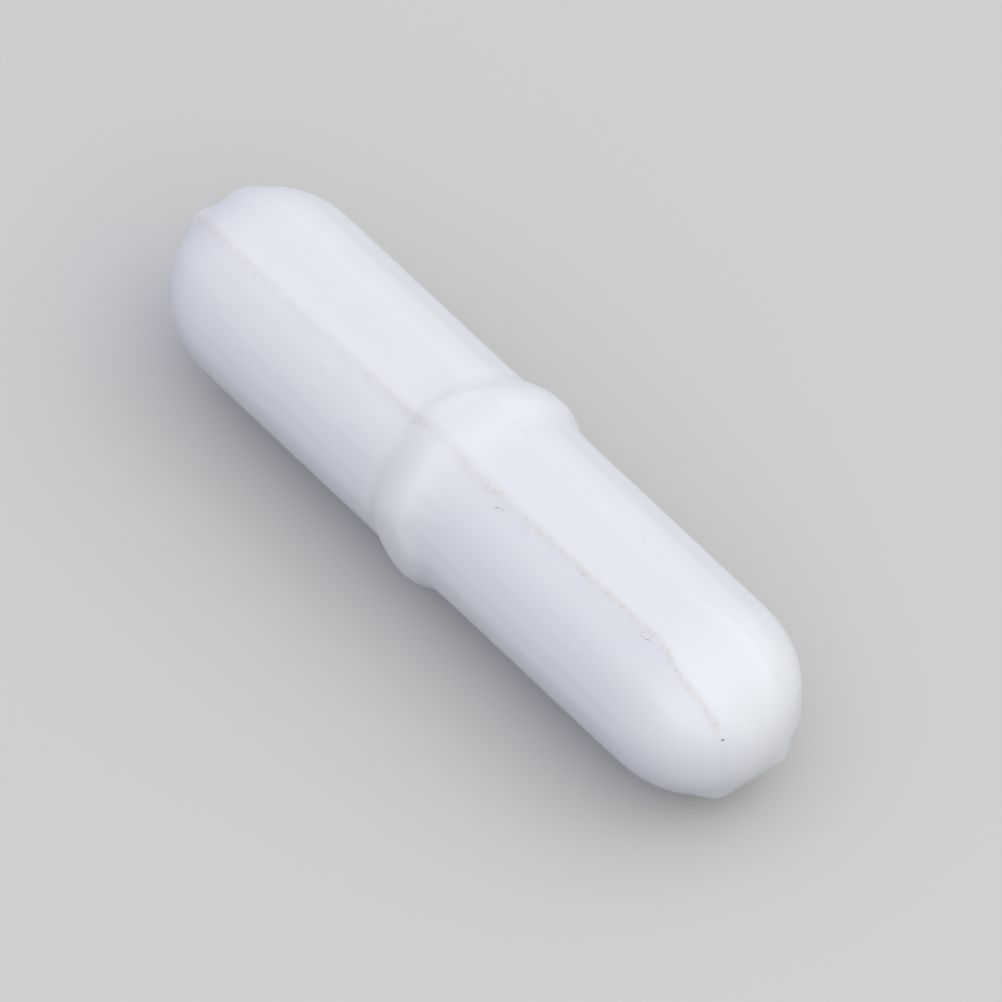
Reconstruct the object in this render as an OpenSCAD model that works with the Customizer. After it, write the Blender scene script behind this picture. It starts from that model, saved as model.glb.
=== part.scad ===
// Octagonal magnetic stir bar with a pivot ring.
// A rod magnet lies sealed inside a white fluoropolymer jacket. The jacket is one moulding:
// an eight-sided barrel, a faceted dome on each end, and a low ring round the middle on
// which the bar spins. The bar lies along X, with one facet down.

/* [Bar] */
// Overall length, end face to end face
bar_length = 30; // [26:0.5:40]
// Width across two opposite facets
bar_flats = 6.8; // [6.4:0.05:8]
// Number of facets round the bar
facet_count = 8; // [6:2:12]
// Depth taken off each ridge between two facets
ridge_relief = 0.08; // [0.02:0.01:0.15]

/* [Domed ends] */
// Length of each dome, from the barrel to the end face
dome_length = 3.3; // [2.6:0.05:4]
// Width of the small end face across its flats
end_flats = 1.2; // [0.8:0.05:2.4]

/* [Pivot ring] */
// Width of the ring along the bar, foot to foot
ring_width = 3.6; // [2.6:0.1:5]
// Height of the ring above the facets
ring_rise = 0.45; // [0.3:0.05:0.7]
// Depth taken off each ridge at the top of the ring
ring_relief = 0.17; // [0.05:0.01:0.25]

/* [Magnet] */
// Diameter of the rod magnet
magnet_diameter = 4.5; // [3.6:0.1:4.9]
// Length of the rod magnet
magnet_length = 24; // [18:0.5:24.5]
// Chamfer on both ends of the magnet
magnet_chamfer = 0.4; // [0.1:0.05:0.8]
// Gap left all round the magnet by the moulded jacket
magnet_clearance = 0.03; // [0.01:0.01:0.1]

/* [Hidden] */
$fn = 96;
// Sizes worked out below are kept to whole microns, so that an arc ends where its flat starts.
function micron(size) = round(size * 1000) / 1000;
half_length = bar_length / 2;
facet_height = bar_flats / 2;
to_ridge = 1 / cos(180 / facet_count);
ridge_height = micron(facet_height * to_ridge - ridge_relief);
ring_facet_height = facet_height + ring_rise;
ring_ridge_height = micron(ring_facet_height * to_ridge - ring_relief);
dome_start = half_length - dome_length;
end_drop = (bar_flats - end_flats) / 2;
dome_radius = micron((dome_length ^ 2 + end_drop ^ 2) / (2 * end_drop));
block = 4 * facet_height;

// One quarter of a dome's outline: an arc that leaves the barrel, at height h, without a
// kink and is cut off by the end face.
module dome_outline(h, r) {
    intersection() {
        translate([dome_start, h - r]) circle(r);
        translate([dome_start, 0]) square([dome_length, 2 * h]);
    }
}

// The ring's outline: an arc that rises from the barrel, at height h, to a crest.
module ring_outline(h, crest) {
    rise = crest - h;
    r = micron((ring_width ^ 2 / 4 + rise ^ 2) / (2 * rise));
    intersection() {
        translate([0, crest - r]) circle(r);
        translate([-ring_width, 0]) square([2 * ring_width, 2 * crest]);
    }
}

// Upper half of the bar seen from the side, with the barrel at height h.
module half_outline(h, crest, dome_r) {
    translate([-dome_start, 0]) square([2 * dome_start, h]);
    for (end = [0, 1]) mirror([end, 0]) dome_outline(h, dome_r);
    ring_outline(h, crest);
}

// One pair of opposite facets, running over the ring and down both domes.
module facet_pair() {
    linear_extrude(block, center = true)
        for (side = [0, 1]) mirror([0, side])
            half_outline(facet_height, ring_facet_height, dome_radius);
}

// The round form that takes the sharpness off the ridges.
module ridge_envelope() {
    rotate([0, 90, 0]) rotate_extrude()
        rotate([0, 0, 90]) half_outline(ridge_height, ring_ridge_height,
            dome_radius + ridge_height - facet_height);
}

// The magnet's shape, grown by gap on every side.
module magnet_form(gap) {
    r = magnet_diameter / 2 + gap;
    l = magnet_length / 2 + gap;
    rotate([0, 90, 0]) rotate_extrude()
        polygon([[0, -l], [r - magnet_chamfer, -l], [r, magnet_chamfer - l],
            [r, l - magnet_chamfer], [r - magnet_chamfer, l], [0, l]]);
}

module ptfe_jacket() {
    color("white") difference() {
        intersection() {
            intersection_for(turn = [0 : facet_count / 2 - 1])
                rotate([turn * 360 / facet_count, 0, 0]) facet_pair();
            ridge_envelope();
        }
        magnet_form(magnet_clearance);
    }
}

module bar_magnet() {
    color("dimgray") magnet_form(0);
}

ptfe_jacket();
bar_magnet();
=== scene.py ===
# Magnetic stir bar: a rod magnet sealed in a white fluoropolymer jacket with a pivot ring.
import math
import bmesh
import bpy
from mathutils import Matrix, Vector


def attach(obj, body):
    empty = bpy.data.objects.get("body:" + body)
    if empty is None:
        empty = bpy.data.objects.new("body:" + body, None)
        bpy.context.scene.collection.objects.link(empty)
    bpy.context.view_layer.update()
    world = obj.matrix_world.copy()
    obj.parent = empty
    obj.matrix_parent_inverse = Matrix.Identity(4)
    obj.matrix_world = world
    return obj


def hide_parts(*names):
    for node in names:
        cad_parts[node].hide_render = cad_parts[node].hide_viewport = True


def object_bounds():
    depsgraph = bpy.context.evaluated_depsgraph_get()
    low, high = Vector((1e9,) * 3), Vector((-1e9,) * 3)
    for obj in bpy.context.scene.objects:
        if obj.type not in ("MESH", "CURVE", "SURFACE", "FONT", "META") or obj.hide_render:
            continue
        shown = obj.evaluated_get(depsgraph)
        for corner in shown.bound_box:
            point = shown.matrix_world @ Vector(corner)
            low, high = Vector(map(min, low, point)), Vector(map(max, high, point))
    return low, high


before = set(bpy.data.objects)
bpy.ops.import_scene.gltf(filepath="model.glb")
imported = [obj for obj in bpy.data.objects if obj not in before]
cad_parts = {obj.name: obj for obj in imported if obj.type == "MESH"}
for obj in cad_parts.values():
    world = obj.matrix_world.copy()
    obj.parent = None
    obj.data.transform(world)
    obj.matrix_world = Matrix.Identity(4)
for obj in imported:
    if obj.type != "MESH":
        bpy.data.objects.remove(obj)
cad_low, cad_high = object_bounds()

MM = 0.001

# Two places closer than this count as one
SAME_PLACE = 1e-6
CUT_THRESHOLD = 1e-7

# Barrel: a round blank with flats pressed into it
RIDGE_RADIUS = 3.62 * MM
BLANK_SEGMENTS = 96
BLANK_RINGS = 48

# Domed ends: where a dome starts, how far it reaches, and how full it is
DOME_START = 11.2 * MM
BLANK_LEFT = (11.1 * MM, 3.83 * MM, 2.18)
BLANK_RIGHT = (11.05 * MM, 3.95 * MM, 2.17)
LEFT_DOME = (DOME_START, 3.66 * MM, 2.17)
RIGHT_DOME = (DOME_START, 3.79 * MM, 2.17)
RIGHT_BACK_DOME = (11.1 * MM, 3.81 * MM, 2.13)
FULL_DOME = (DOME_START, 3.9 * MM, 2.35)
TOP_LEFT_DOME = (DOME_START, 3.79 * MM, 2.15)
TOP_RIGHT_DOME = (10.6 * MM, 4.39 * MM, 2.07)
DOME_STEPS = 16

# Pivot ring: an arch on the left, and a crest that falls off in a straight flank on the right
RING_CREST = -0.18 * MM
RING_RISE = 0.39 * MM
RING_LEFT_WIDTH = 1.30 * MM
RING_RIGHT_WIDTH = 2.4 * MM
RING_RIGHT_FOOT = 1.02 * MM
RING_FLANK = 0.52
RING_FLANK_BLEND = 0.03 * MM
RING_LEFT_FULLNESS = 1.75
RING_TOP_BLEND = 0.02 * MM
RING_LEFT_FOOT_BLEND = 0.05 * MM
RING_RIGHT_FOOT_BLEND = 0.12 * MM
RING_LIMIT = 3.84 * MM
# Higher than any ring, for the blank, which is not trimmed by a flat
NO_LIMIT = 1

# Cavity that the magnet fills
CAVITY_RADIUS = 2.28 * MM
CAVITY_LENGTH = 24.06 * MM
CAVITY_CHAMFER = 0.4 * MM
CAVITY_SEGMENTS = 96

# In degrees: how far the top flat is turned towards the front and how far it yaws, and how far
# the upper front flat is pitched
TOP_FLAT_TURN = 4.1
TOP_FLAT_YAW = 0.45
FRONT_FLAT_PITCH = 0.2

# Each flat: its name, its turn round the bar from the top towards the front in degrees, its
# height above the axis, the ring's greatest height over it, its left and right domes, and how
# far it runs on past each of those ends in degrees
FLATS = [
    ("top", TOP_FLAT_TURN, 3.455 * MM, 3.84 * MM, TOP_LEFT_DOME, TOP_RIGHT_DOME, (40, 0)),
    ("upper_front", 34.3, 3.49 * MM, 4.05 * MM, LEFT_DOME, RIGHT_DOME, (0, 0)),
    ("front_round_1", 44, 3.485 * MM, 4.05 * MM, FULL_DOME, FULL_DOME, (0, 0)),
    ("front_round_2", 54, 3.487 * MM, 4.05 * MM, FULL_DOME, FULL_DOME, (0, 0)),
    ("front_round_3", 63, 3.495 * MM, 4.05 * MM, FULL_DOME, FULL_DOME, (0, 0)),
    ("front_round_4", 75, 3.545 * MM, 4.05 * MM, FULL_DOME, FULL_DOME, (0, 0)),
    ("lower_front", 96, 3.60 * MM, 3.84 * MM, LEFT_DOME, RIGHT_DOME, (0, 0)),
    ("under_front", 134.6, 3.54 * MM, 3.95 * MM, LEFT_DOME, RIGHT_DOME, (0, 0)),
    ("bottom", 180, 3.41 * MM, 3.84 * MM, LEFT_DOME, RIGHT_DOME, (40, 40)),
    ("under_back", 225.4, 3.44 * MM, 3.95 * MM, LEFT_DOME, RIGHT_DOME, (0, 0)),
    ("lower_back", 270.3, 3.48 * MM, 3.84 * MM, LEFT_DOME, RIGHT_BACK_DOME, (0, 0)),
    ("upper_back", 315, 3.56 * MM, 4.05 * MM, LEFT_DOME, RIGHT_BACK_DOME, (0, 0)),
]
# Each flat is the top of a block that reaches this far below the axis and to each side
FLAT_BLOCK_DEPTH = 7 * MM
FLAT_BLOCK_HALF_WIDTH = 5 * MM
# Moves each block on a little from the last, so that no two share an edge
FLAT_STAGGER = 0.009 * MM

# Softening of all edges
SKIN_VOXEL = 0.1 * MM
SKIN_SMOOTHING = 20
CREST_SMOOTHING = 16
RING_FRONT_SMOOTHING = 25

# Unevenness left by the mould, in millimetres: place, way it is drawn, by how much, and how
# far round
PULLS = [
    ((-0.3, -0.55, 3.85), (-1, 0, 0), 0.35, 2.6),
    ((0.1, 0.45, 3.84), (-1, 0, 0), 0.20, 1.8),
    ((0.6, -2.05, 3.25), (-1, 0, 0), 0.30, 1.2),
    ((0.6, -2.81, 2.62), (-1, 0, 0), 0.32, 1.2),
    ((0.6, -3.39, 1.80), (-1, 0, 0), 0.32, 1.2),
    ((0.6, -3.74, 0.86), (-1, 0, 0), 0.32, 1.2),
    ((-0.6, -3.75, 0.70), (-1, 0, 0), 0.30, 1.6),
    ((-1.6, -0.93, 3.50), (-1, 0, 0), 0.16, 0.9),
    ((-14.40, -0.85, 1.75), (-0.86, -0.22, 0.46), 0.19, 0.95),
    ((-14.12, 0.94, 2.23), (-0.78, 0.21, 0.58), 0.11, 0.95),
    ((14.52, 1.04, -1.62), (0.86, 0.29, -0.42), 0.16, 0.90),
    ((13.99, -1.25, -2.30), (0.69, -0.35, -0.63), 0.16, 0.95),
]


# ---------- tools ----------

def clear_selection():
    bpy.ops.object.select_all(action="DESELECT")


def work_on(piece):
    clear_selection()
    piece.select_set(True)
    bpy.context.view_layer.objects.active = piece


def edit(piece):
    work_on(piece)
    bpy.ops.object.mode_set(mode="EDIT")


def done():
    bpy.ops.object.mode_set(mode="OBJECT")


def pick_vertices(piece, wanted):
    """Selects the vertices whose place passes the test, in edit mode."""
    bpy.ops.mesh.select_mode(type="VERT")
    bpy.ops.mesh.select_all(action="DESELECT")
    mesh = bmesh.from_edit_mesh(piece.data)
    for vertex in mesh.verts:
        vertex.select = wanted(vertex.co)
    mesh.select_flush_mode()
    bmesh.update_edit_mesh(piece.data)


def pick_faces(piece, wanted):
    """Selects the faces whose centre passes the test, in edit mode."""
    bpy.ops.mesh.select_mode(type="FACE")
    bpy.ops.mesh.select_all(action="DESELECT")
    mesh = bmesh.from_edit_mesh(piece.data)
    for face in mesh.faces:
        face.select = wanted(face.calc_center_median())
    mesh.select_flush_mode()
    bmesh.update_edit_mesh(piece.data)


def finish_with(piece, kind, **settings):
    """Adds a modifier with these settings and applies it."""
    work_on(piece)
    modifier = piece.modifiers.new(kind.title(), kind)
    for name, value in settings.items():
        setattr(modifier, name, value)
    bpy.ops.object.modifier_apply(modifier=modifier.name)


# ---------- the jacket ----------

def higher(first, second, blend):
    """The higher of two heights, blended softly where they meet."""
    return (first + second + math.hypot(first - second, blend)) / 2


def lower(first, second, blend):
    """The lower of two heights, blended softly where they meet."""
    return (first + second - math.hypot(first - second, blend)) / 2


def ring_height(x, height, limit):
    """Height of the skin at x: the ring over a barrel, crisp at its left foot, soft at its right."""
    off = x - RING_CREST
    if off > 0:
        arch = RING_RISE * (1 - (off / RING_RIGHT_WIDTH) ** 2)
        arch = lower(arch, RING_FLANK * (RING_RIGHT_FOOT - x), RING_FLANK_BLEND)
        foot_blend = RING_RIGHT_FOOT_BLEND
    else:
        arch = RING_RISE * (1 - (-off / RING_LEFT_WIDTH) ** RING_LEFT_FULLNESS)
        foot_blend = RING_LEFT_FOOT_BLEND
    top = lower(RIDGE_RADIUS + arch, limit, RING_TOP_BLEND)
    return higher(top, height, foot_blend)


def ring_stations(shift=0.0):
    """Places along the bar where the ring's outline has a point."""
    left = [-3.0, -2.4]
    middle = [-2.0 + 0.1 * step for step in range(36)]
    right = [1.6, 1.8, 2.1, 2.6, 3.2]
    return [x * MM + shift for x in left + middle + right]


def dome_points(dome, height, past_the_end):
    """Points (x, height) down a dome on the right, from the barrel to the end and past it."""
    start, reach, fullness = dome
    points = [(start, height)]
    for step in range(1, DOME_STEPS + 1):
        turn = math.radians((90 + past_the_end) * step / DOME_STEPS)
        down = math.copysign(abs(math.cos(turn)) ** (2 / fullness), math.cos(turn))
        out = abs(math.sin(turn)) ** (2 / fullness)
        points.append((start + reach * out, height * down))
    return points


def make_blank():
    """The round bar before the flats: two half balls drawn apart, with a ring swelled round the middle."""
    clear_selection()
    bpy.ops.mesh.primitive_uv_sphere_add(
        segments=BLANK_SEGMENTS, ring_count=BLANK_RINGS, radius=RIDGE_RADIUS,
        rotation=(0, math.radians(90), 0))
    blank = bpy.context.object
    blank.name = "blank"
    bpy.ops.object.transform_apply(location=False, rotation=True, scale=False)
    edit(blank)
    loops = sorted({round(v.co.x, 7) for v in blank.data.vertices if v.co.x > SAME_PLACE})
    for side, (start, reach, fullness) in ((1, BLANK_RIGHT), (-1, BLANK_LEFT)):
        pick_faces(blank, lambda centre: side * centre.x > 0)
        bpy.ops.mesh.extrude_region_move(
            TRANSFORM_OT_translate={"value": (side * start, 0, 0)})
        for loop in loops:
            out = math.sqrt(max(1 - (loop / RIDGE_RADIUS) ** 2, 0))
            full = (1 - out ** fullness) ** (1 / fullness) * reach
            old = side * (start + loop)
            pick_vertices(blank, lambda place: abs(place.x - old) < CUT_THRESHOLD)
            bpy.ops.transform.translate(value=(side * full - side * loop, 0, 0))
    for x in ring_stations():
        bpy.ops.mesh.select_all(action="SELECT")
        bpy.ops.mesh.bisect(plane_co=(x, 0, 0), plane_no=(1, 0, 0), threshold=CUT_THRESHOLD)
    for x in ring_stations():
        pick_vertices(blank, lambda place: abs(place.x - x) < SAME_PLACE)
        swell = ring_height(x, RIDGE_RADIUS, NO_LIMIT) / RIDGE_RADIUS
        bpy.ops.transform.resize(value=(1, swell, swell), center_override=(x, 0, 0))
    done()
    return blank


def make_flat_form(height, over_ring, left_dome, right_dome, shift, past):
    """A block whose upper face is one flat of the bar, running over the ring and down both domes."""
    middle = [(x, ring_height(x, height, over_ring)) for x in ring_stations(shift)]
    left, right = (dome_points((start + shift, reach, fullness), height, turn)
                   for (start, reach, fullness), turn in zip((left_dome, right_dome), past))
    left = [(-x, z) for x, z in reversed(left)]
    below_left = (left[0][0], -FLAT_BLOCK_DEPTH)
    below_right = (right[-1][0], -FLAT_BLOCK_DEPTH)
    outline = [below_left, *left, *middle, *right, below_right]
    clear_selection()
    bpy.ops.mesh.primitive_plane_add(size=MM, location=(0, 0, 0))
    form = bpy.context.object
    edit(form)
    bpy.ops.mesh.select_all(action="SELECT")
    bpy.ops.mesh.merge(type="CENTER")
    pen = Vector((0, 0, 0))
    for number, (x, z) in enumerate(outline):
        step = Vector((x, -FLAT_BLOCK_HALF_WIDTH, z)) - pen
        if number == 0:
            bpy.ops.transform.translate(value=step)
        else:
            bpy.ops.mesh.extrude_region_move(TRANSFORM_OT_translate={"value": step})
        pen += step
    bpy.ops.mesh.select_all(action="SELECT")
    bpy.ops.mesh.edge_face_add()
    bpy.ops.mesh.extrude_region_move(
        TRANSFORM_OT_translate={"value": (0, 2 * FLAT_BLOCK_HALF_WIDTH, 0)})
    bpy.ops.mesh.select_all(action="SELECT")
    bpy.ops.mesh.normals_make_consistent(inside=False)
    done()
    return form


def trim_ring(jacket):
    """Turns the ring down where it stands proud of the bar's width and height."""
    edit(jacket)
    for side in ((0, 0, 1), (0, 1, 0), (0, -1, 0)):
        bpy.ops.mesh.select_all(action="SELECT")
        bpy.ops.mesh.bisect(plane_co=Vector(side) * RING_LIMIT, plane_no=side, use_fill=True,
                            clear_outer=True, threshold=CUT_THRESHOLD)
    done()


def rub_ring(jacket):
    """Rounds the ring's crest over, as if rubbed, and then its upper front once more."""
    def on_crest(spot):
        return -1.25 * MM < spot.x < 1.0 * MM and spot.yz.length > 3.70 * MM

    def on_upper_front(spot):
        along = -1.6 * MM < spot.x < 0.4 * MM
        return along and spot.yz.length > 3.68 * MM and spot.y < -1.2 * MM and spot.z > 0

    edit(jacket)
    pick_vertices(jacket, on_crest)
    bpy.ops.mesh.vertices_smooth(factor=0.5, repeat=CREST_SMOOTHING)
    pick_vertices(jacket, on_upper_front)
    bpy.ops.mesh.vertices_smooth(factor=0.5, repeat=RING_FRONT_SMOOTHING)
    done()


def pull(piece, place, way, amount, size):
    """Draws the skin out at one place, fading to nothing at a distance of size."""
    edit(piece)
    place = Vector(place) * MM
    vertices = bmesh.from_edit_mesh(piece.data).verts
    nearest = min(vertices, key=lambda vertex: (vertex.co - place).length).co.copy()
    pick_vertices(piece, lambda spot: (spot - nearest).length < CUT_THRESHOLD)
    bpy.ops.transform.translate(
        value=Vector(way).normalized() * amount * MM, use_proportional_edit=True,
        proportional_edit_falloff="SMOOTH", proportional_size=size * MM)
    done()


def line_with_cavity(jacket):
    """Gives the jacket the inner wall that closes round the magnet."""
    clear_selection()
    bpy.ops.mesh.primitive_cylinder_add(
        vertices=CAVITY_SEGMENTS, radius=CAVITY_RADIUS, depth=CAVITY_LENGTH,
        rotation=(0, math.radians(90), 0))
    cavity = bpy.context.object
    bpy.ops.object.transform_apply(location=False, rotation=True, scale=False)
    edit(cavity)
    just_short_of_the_end = 0.49 * CAVITY_LENGTH
    pick_faces(cavity, lambda centre: abs(centre.x) > just_short_of_the_end)
    bpy.ops.mesh.bevel(offset=CAVITY_CHAMFER, segments=1)
    bpy.ops.mesh.select_all(action="SELECT")
    bpy.ops.mesh.normals_make_consistent(inside=True)
    done()
    clear_selection()
    cavity.select_set(True)
    jacket.select_set(True)
    bpy.context.view_layer.objects.active = jacket
    bpy.ops.object.join()


def make_jacket():
    """The jacket: a round blank with flats cut on it, softened, drawn out in places, and hollow."""
    jacket = make_blank()
    for number, (name, turn, height, over_ring, left, right, past) in enumerate(FLATS):
        shift = FLAT_STAGGER * (number + 1)
        form = make_flat_form(height, over_ring, left, right, shift, past)
        form.name = "flat_" + name
        form.matrix_world = Matrix.Rotation(math.radians(turn), 4, "X")
        if name == "top":
            form.matrix_world @= Matrix.Rotation(math.radians(TOP_FLAT_YAW), 4, "Z")
        if name == "upper_front":
            form.matrix_world @= Matrix.Rotation(math.radians(FRONT_FLAT_PITCH), 4, "Y")
        work_on(form)
        bpy.ops.object.transform_apply(location=False, rotation=True, scale=False)
        finish_with(jacket, "BOOLEAN", operation="INTERSECT", solver="EXACT", object=form)
        bpy.data.objects.remove(form)
    trim_ring(jacket)
    finish_with(jacket, "REMESH", mode="VOXEL", voxel_size=SKIN_VOXEL, use_smooth_shade=True)
    finish_with(jacket, "SMOOTH", factor=0.5, iterations=SKIN_SMOOTHING)
    rub_ring(jacket)
    for spot in PULLS:
        pull(jacket, *spot)
    line_with_cavity(jacket)
    jacket.name = "stir_bar_jacket"
    return jacket


jacket = make_jacket()
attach(jacket, "root")
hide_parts("ptfe_jacket")


# ---------- finishes ----------

def new_material(name):
    """An empty material with nodes."""
    material = bpy.data.materials.new(name)
    material.use_nodes = True
    return material


def add_node(tree, kind, **settings):
    """Adds a node with these settings."""
    node = tree.nodes.new(kind)
    for name, value in settings.items():
        setattr(node, name, value)
    return node


def set_inputs(node, **values):
    """Sets input sockets by name, with _ for a space."""
    for name, value in values.items():
        node.inputs[name.replace("_", " ")].default_value = value
    return node


def math_node(tree, operation, first, second=None, third=None):
    """Works out one value from up to three, each a number or a socket."""
    node = add_node(tree, "ShaderNodeMath", operation=operation)
    for socket, value in zip(node.inputs, (first, second, third)):
        if value is None:
            continue
        if isinstance(value, (int, float)):
            socket.default_value = value
        else:
            tree.links.new(value, socket)
    return node.outputs[0]


def times(tree, first, *others):
    """Multiplies values together in the order given."""
    for other in others:
        first = math_node(tree, "MULTIPLY", first, other)
    return first


def ramp(tree, value, ends, results):
    """Goes softly from one result to the other while the value goes from end to end."""
    node = add_node(tree, "ShaderNodeMapRange", interpolation_type="SMOOTHSTEP")
    set_inputs(node, From_Min=ends[0], From_Max=ends[1], To_Min=results[0], To_Max=results[1])
    tree.links.new(value, node.inputs["Value"])
    return node.outputs["Result"]


def mix_colour(tree, amount, under, over):
    """Lays one colour over another, in the given amount."""
    node = add_node(tree, "ShaderNodeMix", data_type="RGBA", blend_type="MIX")
    for socket, value in ((node.inputs[0], amount), (node.inputs[6], under), (node.inputs[7], over)):
        if isinstance(value, (int, float, tuple)):
            socket.default_value = value
        else:
            tree.links.new(value, socket)
    return node.outputs[2]


def new_group(name, inputs, outputs):
    """An empty node group with named sockets, and its two ends."""
    group = bpy.data.node_groups.new(name, "ShaderNodeTree")
    for socket, kind, value in inputs:
        made = group.interface.new_socket(name=socket, in_out="INPUT", socket_type=kind)
        made.default_value = value
    for socket, kind in outputs:
        group.interface.new_socket(name=socket, in_out="OUTPUT", socket_type=kind)
    return group, group.nodes.new("NodeGroupInput"), group.nodes.new("NodeGroupOutput")


def make_mottle_group():
    """Soft cloudy variation with a finer grain on it."""
    group, start, end = new_group(
        "mottle",
        [("Position", "NodeSocketVector", (0, 0, 0)), ("Cloud Scale", "NodeSocketFloat", 0.5),
         ("Grain Scale", "NodeSocketFloat", 6.0)],
        [("Cloud", "NodeSocketFloat"), ("Grain", "NodeSocketFloat")])
    for size, result, detail in (("Cloud Scale", "Cloud", 3.0), ("Grain Scale", "Grain", 5.0)):
        noise = set_inputs(add_node(group, "ShaderNodeTexNoise"), Detail=detail, Roughness=0.55)
        group.links.new(start.outputs["Position"], noise.inputs["Vector"])
        group.links.new(start.outputs[size], noise.inputs["Scale"])
        group.links.new(noise.outputs["Fac"], end.inputs[result])
    return group


def make_soft_line_group():
    """A soft line where one coordinate is near a place, wandering and broken along its length."""
    group, start, end = new_group(
        "soft_line",
        [("Position", "NodeSocketVector", (0, 0, 0)), ("Across", "NodeSocketFloat", 0.0),
         ("Place", "NodeSocketFloat", 0.0), ("Half Width", "NodeSocketFloat", 0.1),
         ("Wander", "NodeSocketFloat", 0.05), ("Breaks", "NodeSocketFloat", 0.5)],
        [("Mask", "NodeSocketFloat")])
    drift = set_inputs(add_node(group, "ShaderNodeTexNoise"), Scale=0.55, Detail=3.0)
    group.links.new(start.outputs["Position"], drift.inputs["Vector"])
    swing = math_node(group, "MULTIPLY_ADD", drift.outputs["Fac"], 2.0, -1.0)
    swing = math_node(group, "MULTIPLY", swing, start.outputs["Wander"])
    off = math_node(group, "SUBTRACT", start.outputs["Across"], start.outputs["Place"])
    off = math_node(group, "ABSOLUTE", math_node(group, "SUBTRACT", off, swing))
    edge = add_node(group, "ShaderNodeMapRange", interpolation_type="SMOOTHERSTEP")
    set_inputs(edge, From_Min=0.0, To_Min=1.0, To_Max=0.0)
    group.links.new(off, edge.inputs["Value"])
    group.links.new(start.outputs["Half Width"], edge.inputs["From Max"])
    patches = set_inputs(add_node(group, "ShaderNodeTexNoise"), Scale=1.7, Detail=4.0)
    group.links.new(start.outputs["Position"], patches.inputs["Vector"])
    strength = add_node(group, "ShaderNodeMapRange", interpolation_type="SMOOTHSTEP")
    set_inputs(strength, From_Min=0.38, From_Max=0.6, To_Max=1.0)
    group.links.new(patches.outputs["Fac"], strength.inputs["Value"])
    weakest = math_node(group, "SUBTRACT", 1.0, start.outputs["Breaks"])
    group.links.new(weakest, strength.inputs["To Min"])
    mask = times(group, edge.outputs["Result"], strength.outputs["Result"])
    group.links.new(mask, end.inputs["Mask"])
    return group


def make_small_mark_group():
    """A soft-edged spot or stroke of the given size, centred and turned in place."""
    group, start, end = new_group(
        "small_mark",
        [("Position", "NodeSocketVector", (0, 0, 0)), ("Centre", "NodeSocketVector", (0, 0, 0)),
         ("Turn", "NodeSocketVector", (0, 0, 0)), ("Half Size", "NodeSocketVector", (0.1, 0.1, 0.3)),
         ("Edge", "NodeSocketFloat", 0.4)],
        [("Mask", "NodeSocketFloat")])
    offset = add_node(group, "ShaderNodeVectorMath", operation="SUBTRACT")
    group.links.new(start.outputs["Position"], offset.inputs[0])
    group.links.new(start.outputs["Centre"], offset.inputs[1])
    turned = add_node(group, "ShaderNodeVectorRotate", rotation_type="EULER_XYZ", invert=True)
    group.links.new(offset.outputs[0], turned.inputs["Vector"])
    group.links.new(start.outputs["Turn"], turned.inputs["Rotation"])
    scaled = add_node(group, "ShaderNodeVectorMath", operation="DIVIDE")
    group.links.new(turned.outputs[0], scaled.inputs[0])
    group.links.new(start.outputs["Half Size"], scaled.inputs[1])
    reach = add_node(group, "ShaderNodeVectorMath", operation="LENGTH")
    group.links.new(scaled.outputs[0], reach.inputs[0])
    edge = add_node(group, "ShaderNodeMapRange", interpolation_type="SMOOTHSTEP")
    set_inputs(edge, From_Max=1.0, To_Min=1.0, To_Max=0.0)
    group.links.new(start.outputs["Edge"], edge.inputs["From Min"])
    group.links.new(reach.outputs["Value"], edge.inputs["Value"])
    group.links.new(edge.outputs["Result"], end.inputs["Mask"])
    return group


MOTTLE = make_mottle_group()
SOFT_LINE = make_soft_line_group()
SMALL_MARK = make_small_mark_group()


def place_group(tree, group, position, **values):
    """Puts a node group in a material, fed with a position in millimetres."""
    node = add_node(tree, "ShaderNodeGroup", node_tree=group)
    tree.links.new(position, node.inputs["Position"])
    for name, value in values.items():
        socket = node.inputs[name.replace("_", " ")]
        if isinstance(value, (int, float, tuple)):
            socket.default_value = value
        else:
            tree.links.new(value, socket)
    return node


def millimetres(tree):
    """The place on the piece, in millimetres."""
    place = add_node(tree, "ShaderNodeTexCoord")
    scale = add_node(tree, "ShaderNodeVectorMath", operation="SCALE")
    scale.inputs["Scale"].default_value = 1000.0
    tree.links.new(place.outputs["Object"], scale.inputs[0])
    return scale.outputs[0]


def on_bar(x, turn, radius):
    """A place on the bar's skin in millimetres, by its turn from the top towards the front."""
    turn = math.radians(turn)
    return (x, -radius * math.sin(turn), radius * math.cos(turn))


# Colours of dirt, and a pale white painted on as light
BROWN = (0.16, 0.075, 0.06, 1)
RUST = (0.62, 0.42, 0.40, 1)
GREY = (0.32, 0.31, 0.33, 1)
DUST = (0.50, 0.44, 0.42, 1)
PALE_GREY = (0.60, 0.58, 0.62, 1)
SMEAR_GREY = (0.74, 0.67, 0.69, 1)
# Pale white painted on the front round and the near dome as light.
PAINTED_LIGHT_WHITE = (0.890, 0.900, 0.99, 1)
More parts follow.
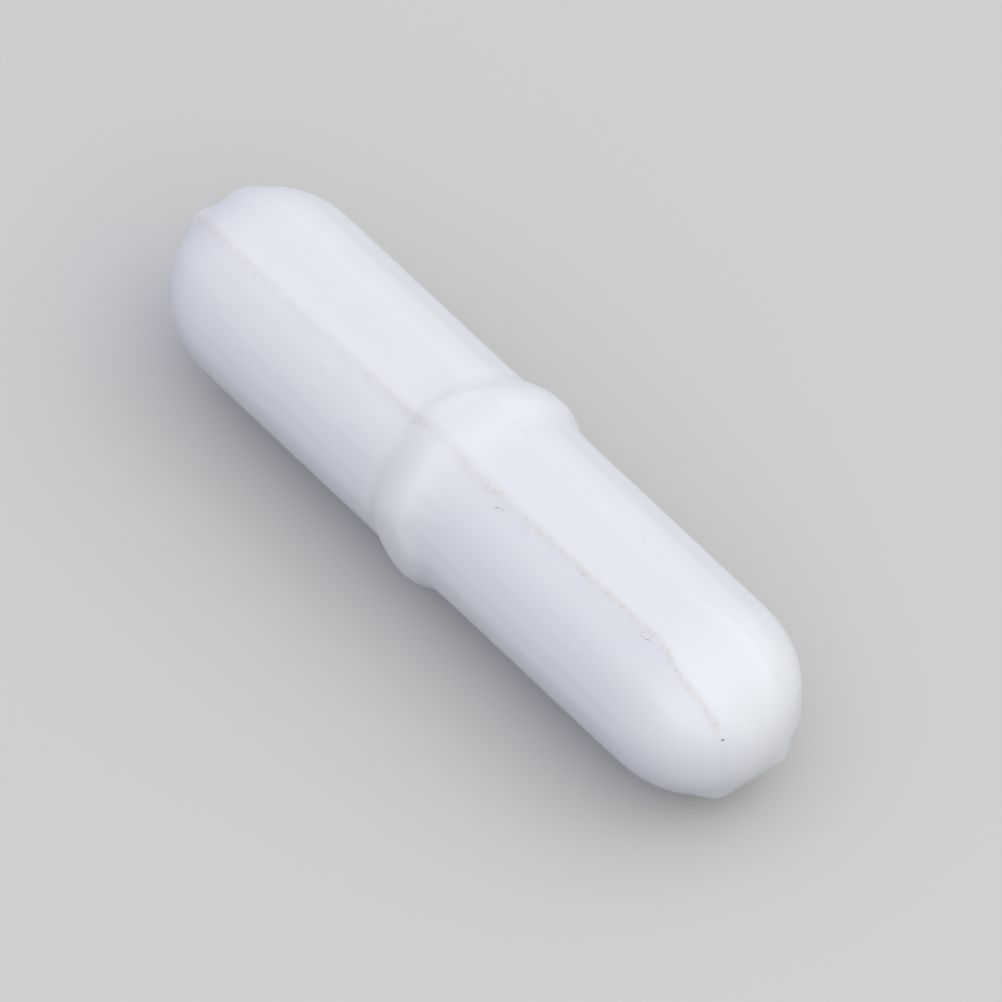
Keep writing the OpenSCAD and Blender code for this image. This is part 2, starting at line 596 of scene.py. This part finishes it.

# Each mark: its name, its centre, how far it is turned round the bar and spun on its skin in
# degrees, its half sizes (along, across, through), its colour and its strength. The last two
# are wide pale areas of painted light on the front round and the near dome.
MARKS = [
    ("hair", on_bar(2.90, 28.5, 3.6), 28, 30, (0.20, 0.032, 0.5), GREY, 0.75),
    ("hair_end", on_bar(3.13, 27.3, 3.6), 27, 12, (0.10, 0.03, 0.5), GREY, 0.6),
    ("speck", on_bar(7.10, 23.4, 3.6), 23, 0, (0.07, 0.05, 0.5), GREY, 0.4),
    ("curl_top", on_bar(10.36, 23.8, 3.51), 24, 34, (0.09, 0.035, 0.5), GREY, 0.30),
    ("curl_side", on_bar(10.40, 25.6, 3.49), 26, -35, (0.11, 0.035, 0.5), GREY, 0.30),
    ("curl_foot", on_bar(10.66, 25.0, 3.50), 25, 28, (0.17, 0.036, 0.5), GREY, 0.60),
    ("curl_end", on_bar(11.23, 24.9, 3.49), 25, 38, (0.11, 0.040, 0.5), GREY, 0.20),
    ("curl_past", on_bar(11.48, 24.3, 3.49), 24, 35, (0.08, 0.045, 0.5), GREY, 0.12),
    ("rust_spot", on_bar(11.33, 24.2, 3.57), 24, 0, (0.07, 0.06, 0.5), RUST, 0.15),
    ("dome_spot", on_bar(14.08, 44.2, 2.47), 0, 54, (0.06, 0.5, 0.05), GREY, 0.2),
    ("pit", on_bar(14.50, 47.0, 1.90), 0, 61, (0.10, 0.5, 0.05), BROWN, 0.85),
    ("smear", (14.62, -1.54, 0.37), 0, 64, (0.24, 0.5, 0.80), SMEAR_GREY, 0.20),
    ("smudge", on_bar(-5.92, 39.4, 3.6), 39, 20, (0.20, 0.14, 0.5), PALE_GREY, 0.32),
    ("dot", on_bar(2.82, -29.9, 3.6), -30, 0, (0.07, 0.06, 0.5), PALE_GREY, 0.6),
    ("foot_smudge", on_bar(-1.80, 24.8, 3.7), 25, -3, (0.80, 0.40, 0.6), DUST, 0.05),
    ("ring_smudge", on_bar(-0.40, 25.0, 3.9), 25, 2, (1.00, 0.22, 0.6), DUST, 0.02),
    ("wide_smudge", on_bar(2.20, 26.6, 3.6), 26, 3, (1.70, 0.26, 0.5), DUST, 0.02),
    ("side_smudge", on_bar(4.30, 28.0, 3.6), 28, -30, (0.45, 0.26, 0.5), PALE_GREY, 0.10),
    # Painted light: pale white over the far front round and the near dome to brighten them.
    ("painted_light_front", on_bar(-7.80, 42.0, 3.6), 42, 0, (9.0, 2.2, 1.6), PAINTED_LIGHT_WHITE, 0.55),
    ("painted_light_dome", on_bar(12.40, 56.0, 3.3), 56, 0, (4.0, 2.0, 2.0), PAINTED_LIGHT_WHITE, 0.55),
]


# Where the plastic is dirty, and where light and shade are painted on it, in millimetres. A pair of pairs
# goes softly from one result to the other while a place goes from one end to the other: (ends), (results).
UPPER_SIDE = ((-3.0, -2.0), (0.0, 1.0))
LOWER_FRONT = ((-1.5, -3.7), (0.0, 1.0))
LOWER_FRONT_UPWARDS = ((-1.8, 0.6), (0.0, 1.0))

# The front ridge leans a little along the barrel and turns on both domes.
RIDGE_PLACE = -1.135
RIDGE_LEAN = 0.003
RIDGE_TURN_RIGHT = ((10.8, 12.7), (0.0, -0.32))
RIDGE_TURN_LEFT = ((-11.2, -14.6), (0.0, 0.40))
RIDGE_HALF_WIDTH = ((0.0, 7.0), (0.36, 0.24))
RIDGE_DIRT = ((1.0, 7.0), (0.30, 0.38))
RIDGE_DIRT_PATCHES = ((0.38, 0.62), (0.5, 1.3))
RIDGE_DIRT_END = ((14.2, 14.5), (1.0, 0.0))
BACK_RIDGE_PLACE = ((10.8, 12.4), (1.10, 1.46))

# The ring's foot runs closer to the crest on the round of the bar than on the top flat.
FOOT_PLACE = ((-2.3, -1.2), (-1.48, -1.76))
# Strength of the painted shade along the ring's left foot crease, strongest on the top flat.
FOOT_SHADE_STRENGTH = ((-1.9, -1.2), (0.25, 1.0))
# Painted highlight along the ring's crest and right shoulder, centred here.
SHOULDER_HIGHLIGHT_PLACE = -0.42
# Painted light on the ring's left slope on the top flat, centred here.
FOOT_SLOPE_LIGHT_PLACE = -1.55

PLASTIC_LOW = (0.84, 0.848, 0.905, 1)
PLASTIC_HIGH = (0.85, 0.856, 0.91, 1)
# Painted highlight laid along the ring's shoulder.
SHOULDER_PAINTED_HIGHLIGHT = (0.93, 0.94, 1.0, 1)
# Painted light laid on the ring's left slope.
FOOT_SLOPE_PAINTED_LIGHT = (0.93, 0.935, 0.98, 1)
RIDGE_GRIME = (0.70, 0.63, 0.59, 1)
BACK_RIDGE_GRIME = (0.74, 0.71, 0.71, 1)
# Painted shade in the ring's left foot crease.
FOOT_CREASE_SHADE = (0.66, 0.63, 0.66, 1)


def skin_places(tree, place):
    """Three places in millimetres: along the bar, across its top flat, and up from its axis."""
    along = add_node(tree, "ShaderNodeSeparateXYZ")
    tree.links.new(place, along.inputs[0])
    level = add_node(tree, "ShaderNodeMapping", vector_type="POINT")
    level.inputs["Rotation"].default_value = (
        math.radians(-TOP_FLAT_TURN), 0, math.radians(-TOP_FLAT_YAW))
    tree.links.new(place, level.inputs["Vector"])
    levelled = add_node(tree, "ShaderNodeSeparateXYZ")
    tree.links.new(level.outputs[0], levelled.inputs[0])
    return along.outputs["X"], levelled.outputs["Y"], levelled.outputs["Z"]


def lay_lines(tree, place, mottle, colour):
    """Lays the bands of painted highlight and painted light on the ring, the lines of grime on the ridges
    and the painted shade in the ring's foot crease. Also gives the front ridge's mask.
    """
    along, across, up = skin_places(tree, place)
    upper_side = ramp(tree, up, *UPPER_SIDE)
    lower_front = times(tree, ramp(tree, across, *LOWER_FRONT), ramp(tree, up, *LOWER_FRONT_UPWARDS))

    ridge_place = math_node(tree, "MULTIPLY_ADD", along, RIDGE_LEAN, RIDGE_PLACE)
    for dome_turn in (RIDGE_TURN_RIGHT, RIDGE_TURN_LEFT):
        ridge_place = math_node(tree, "ADD", ridge_place, ramp(tree, along, *dome_turn))
    front_ridge = place_group(
        tree, SOFT_LINE, place, Across=across, Place=ridge_place,
        Half_Width=ramp(tree, along, *RIDGE_HALF_WIDTH), Wander=0.06, Breaks=0.32)
    ridge_dirt = times(
        tree, ramp(tree, along, *RIDGE_DIRT), upper_side,
        ramp(tree, mottle.outputs["Grain"], *RIDGE_DIRT_PATCHES), ramp(tree, along, *RIDGE_DIRT_END))
    back_ridge = place_group(
        tree, SOFT_LINE, place, Across=across, Place=ramp(tree, along, *BACK_RIDGE_PLACE),
        Half_Width=0.12, Wander=0.10, Breaks=0.70)

    # Painted shade: a thin darker line in the crease at the ring's left foot.
    foot = place_group(
        tree, SOFT_LINE, place, Across=along, Place=ramp(tree, across, *FOOT_PLACE),
        Half_Width=0.13, Wander=0.03, Breaks=0.5)
    foot_shade_strength = ramp(tree, across, *FOOT_SHADE_STRENGTH)
    # Painted highlight: a white band along the ring's crest and shoulder on the front round.
    shoulder_highlight = place_group(
        tree, SOFT_LINE, place, Across=along, Place=SHOULDER_HIGHLIGHT_PLACE,
        Half_Width=1.75, Wander=0.06, Breaks=0.1)
    # Painted light: a pale band that lifts the ring's left slope on the top flat.
    foot_slope_painted_light = place_group(
        tree, SOFT_LINE, place, Across=along, Place=FOOT_SLOPE_LIGHT_PLACE,
        Half_Width=1.1, Wander=0.03, Breaks=0.1)

    # The shoulder and foot-slope bands are painted highlight and painted light, the foot line is painted
    # shade, and the ridge lines are grime.
    lines = ((shoulder_highlight, 0.85, lower_front, SHOULDER_PAINTED_HIGHLIGHT),
             (foot_slope_painted_light, 0.50, upper_side, FOOT_SLOPE_PAINTED_LIGHT),
             (front_ridge, 1.0, ridge_dirt, RIDGE_GRIME),
             (back_ridge, 0.20, upper_side, BACK_RIDGE_GRIME),
             (foot, 0.14, foot_shade_strength, FOOT_CREASE_SHADE))
    for line, strength, where, tint in lines:
        amount = times(tree, line.outputs["Mask"], strength, where)
        colour = mix_colour(tree, amount, colour, tint)
    return colour, front_ridge.outputs["Mask"]


def lay_marks(tree, place, colour):
    """Lays the small marks and the wide pale areas of painted light, and adds up how strong they all are.
    """
    # Adds up the real marks and the painted-light areas alike.
    scars_and_painted_light = 0.0
    for name, centre, turn, spin, half_size, tint, strength in MARKS:
        spot = place_group(
            tree, SMALL_MARK, place, Centre=centre, Half_Size=half_size, Edge=0.2,
            Turn=(math.radians(turn), 0, math.radians(spin)))
        spot.label = name
        amount = math_node(tree, "MULTIPLY", spot.outputs["Mask"], strength)
        colour = mix_colour(tree, amount, colour, tint)
        scars_and_painted_light = math_node(tree, "ADD", amount, scars_and_painted_light)
    return colour, scars_and_painted_light


def add_bump(tree, shader, height, strength, distance):
    """Raises the surface by the height, at most by the distance."""
    bump = set_inputs(add_node(tree, "ShaderNodeBump"), Strength=strength, Distance=distance)
    tree.links.new(height, bump.inputs["Height"])
    tree.links.new(bump.outputs["Normal"], shader.inputs["Normal"])


def make_fluoropolymer():
    """Milky white moulded plastic, a little dirty along its ridges, with painted highlight, painted light
    and painted shade on and round the ring, and pale painted light on its front.
    """
    material = new_material("white_fluoropolymer")
    tree = material.node_tree
    shader = tree.nodes["Principled BSDF"]
    set_inputs(shader, IOR=1.36, Subsurface_Weight=1.0, Subsurface_Radius=(1.0, 1.0, 1.0),
               Subsurface_Scale=0.8 * MM)
    place = millimetres(tree)
    mottle = place_group(tree, MOTTLE, place, Cloud_Scale=0.35, Grain_Scale=5.0)
    colour = mix_colour(tree, mottle.outputs["Cloud"], PLASTIC_LOW, PLASTIC_HIGH)
    colour, ridge = lay_lines(tree, place, mottle, colour)
    colour, scars_and_painted_light = lay_marks(tree, place, colour)
    tree.links.new(colour, shader.inputs["Base Color"])

    roughness = math_node(tree, "MULTIPLY_ADD", mottle.outputs["Grain"], 0.14, 0.37)
    tree.links.new(roughness, shader.inputs["Roughness"])
    height = math_node(tree, "MULTIPLY", mottle.outputs["Cloud"], 1.4)
    height = math_node(tree, "MULTIPLY_ADD", mottle.outputs["Grain"], 0.35, height)
    height = math_node(tree, "MULTIPLY_ADD", ridge, 0.5, height)
    height = math_node(tree, "SUBTRACT", height, scars_and_painted_light)
    add_bump(tree, shader, height, 1.0, 0.008 * MM)
    return material


def make_magnet_alloy():
    """Dull ground alloy with fine rings left by the wheel."""
    material = new_material("ground_magnet_alloy")
    tree = material.node_tree
    shader = tree.nodes["Principled BSDF"]
    shader.inputs["Metallic"].default_value = 1.0
    place = millimetres(tree)
    mottle = place_group(tree, MOTTLE, place, Cloud_Scale=0.8, Grain_Scale=9.0)
    colour = mix_colour(tree, mottle.outputs["Cloud"], (0.30, 0.30, 0.31, 1), (0.42, 0.42, 0.43, 1))
    tree.links.new(colour, shader.inputs["Base Color"])
    stretch = add_node(tree, "ShaderNodeMapping", vector_type="POINT")
    stretch.inputs["Scale"].default_value = (1.0, 0.06, 0.06)
    tree.links.new(place, stretch.inputs["Vector"])
    rings = set_inputs(add_node(tree, "ShaderNodeTexNoise"), Scale=14.0, Detail=4.0)
    tree.links.new(stretch.outputs[0], rings.inputs["Vector"])
    roughness = math_node(tree, "MULTIPLY_ADD", rings.outputs["Fac"], 0.3, 0.25)
    tree.links.new(roughness, shader.inputs["Roughness"])
    height = math_node(tree, "MULTIPLY_ADD", mottle.outputs["Grain"], 0.4, rings.outputs["Fac"])
    add_bump(tree, shader, height, 0.6, 0.01 * MM)
    return material


jacket.data.materials.clear()
jacket.data.materials.append(make_fluoropolymer())
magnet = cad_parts["bar_magnet"]
magnet.data.materials.clear()
magnet.data.materials.append(make_magnet_alloy())


# ---------- stage ----------

FLOOR_SIZE = 1.6
WORLD_COLOUR = (0.89, 0.90, 1.0, 1)
WORLD_STRENGTH = 0.81
LIGHT_SIZE = 0.5

clear_selection()
bpy.ops.mesh.primitive_plane_add(size=FLOOR_SIZE, location=(0, 0, cad_low.z))
floor = bpy.context.object
floor.name = "floor"


def make_paper():
    """Pale matt studio paper. It shows paler than the light it throws back on the bar."""
    material = new_material("pale_paper")
    tree = material.node_tree
    shader = tree.nodes["Principled BSDF"]
    shader.inputs["Roughness"].default_value = 0.9
    mottle = place_group(tree, MOTTLE, millimetres(tree), Cloud_Scale=0.02, Grain_Scale=1.5)
    seen = mix_colour(tree, mottle.outputs["Cloud"], (0.655, 0.65, 0.64, 1), (0.675, 0.67, 0.66, 1))
    rays = add_node(tree, "ShaderNodeLightPath")
    direct = math_node(tree, "MAXIMUM", rays.outputs["Is Camera Ray"], rays.outputs["Is Glossy Ray"])
    direct = math_node(tree, "MAXIMUM", direct, rays.outputs["Is Transmission Ray"])
    colour = mix_colour(tree, direct, (0.17, 0.17, 0.18, 1), seen)
    tree.links.new(colour, shader.inputs["Base Color"])
    return material


floor.data.materials.append(make_paper())

world = bpy.data.worlds.new("studio")
bpy.context.scene.world = world
world.use_nodes = True
world.node_tree.nodes["Background"].inputs["Color"].default_value = WORLD_COLOUR
world.node_tree.nodes["Background"].inputs["Strength"].default_value = WORLD_STRENGTH


def soft_box(name, place, power, colour):
    """A square light that shines at the bar."""
    light = bpy.data.lights.new(name, "AREA")
    light.shape = "SQUARE"
    light.size = LIGHT_SIZE
    light.energy = power
    light.color = colour
    lamp = bpy.data.objects.new(name, light)
    bpy.context.scene.collection.objects.link(lamp)
    lamp.location = place
    lamp.rotation_euler = (-Vector(place)).to_track_quat("-Z", "Y").to_euler()


soft_box("key_light", (0.305, 0.065, 0.337), 0.53, (1.0, 0.92, 0.38))
soft_box("front_light", (0.395, -0.209, 0.116), 0.49, (0.75, 0.85, 1.0))
soft_box("back_light", (0.143, 0.334, 0.286), 0.30, (0.76, 0.90, 0.98))


# ---------- camera ----------

AZIMUTH = 52.45
ELEVATION = 51.3
ROLL = -2.3
FRAME_WIDTH = 34.16 * MM
LENS = 1200.0
SENSOR_WIDTH = 36.0
# How far the middle of the picture lies right of and above the bar's middle, in pixels
PICTURE_WIDTH = 1002
AIM_RIGHT = 17.1
AIM_UP = -12.0

camera_data = bpy.data.cameras.new("camera")
camera = bpy.data.objects.new("camera", camera_data)
bpy.context.scene.collection.objects.link(camera)
bpy.context.scene.camera = camera
camera_data.lens = LENS
camera_data.sensor_width = SENSOR_WIDTH
distance = FRAME_WIDTH * LENS / camera_data.sensor_width
azimuth, elevation = math.radians(AZIMUTH), math.radians(ELEVATION)
to_camera = Vector((math.sin(azimuth) * math.cos(elevation),
                    -math.cos(azimuth) * math.cos(elevation),
                    math.sin(elevation)))
facing = (-to_camera).to_track_quat("-Z", "Y").to_matrix()
facing = facing @ Matrix.Rotation(math.radians(ROLL), 3, "Z")
pixel = FRAME_WIDTH / PICTURE_WIDTH
aim = facing @ Vector((AIM_RIGHT * pixel, AIM_UP * pixel, 0))
camera.location = aim + to_camera * distance
camera.rotation_euler = facing.to_euler()
camera_data.clip_start = distance * 0.5
camera_data.clip_end = distance * 3

bpy.context.scene.view_settings.view_transform = "Standard"
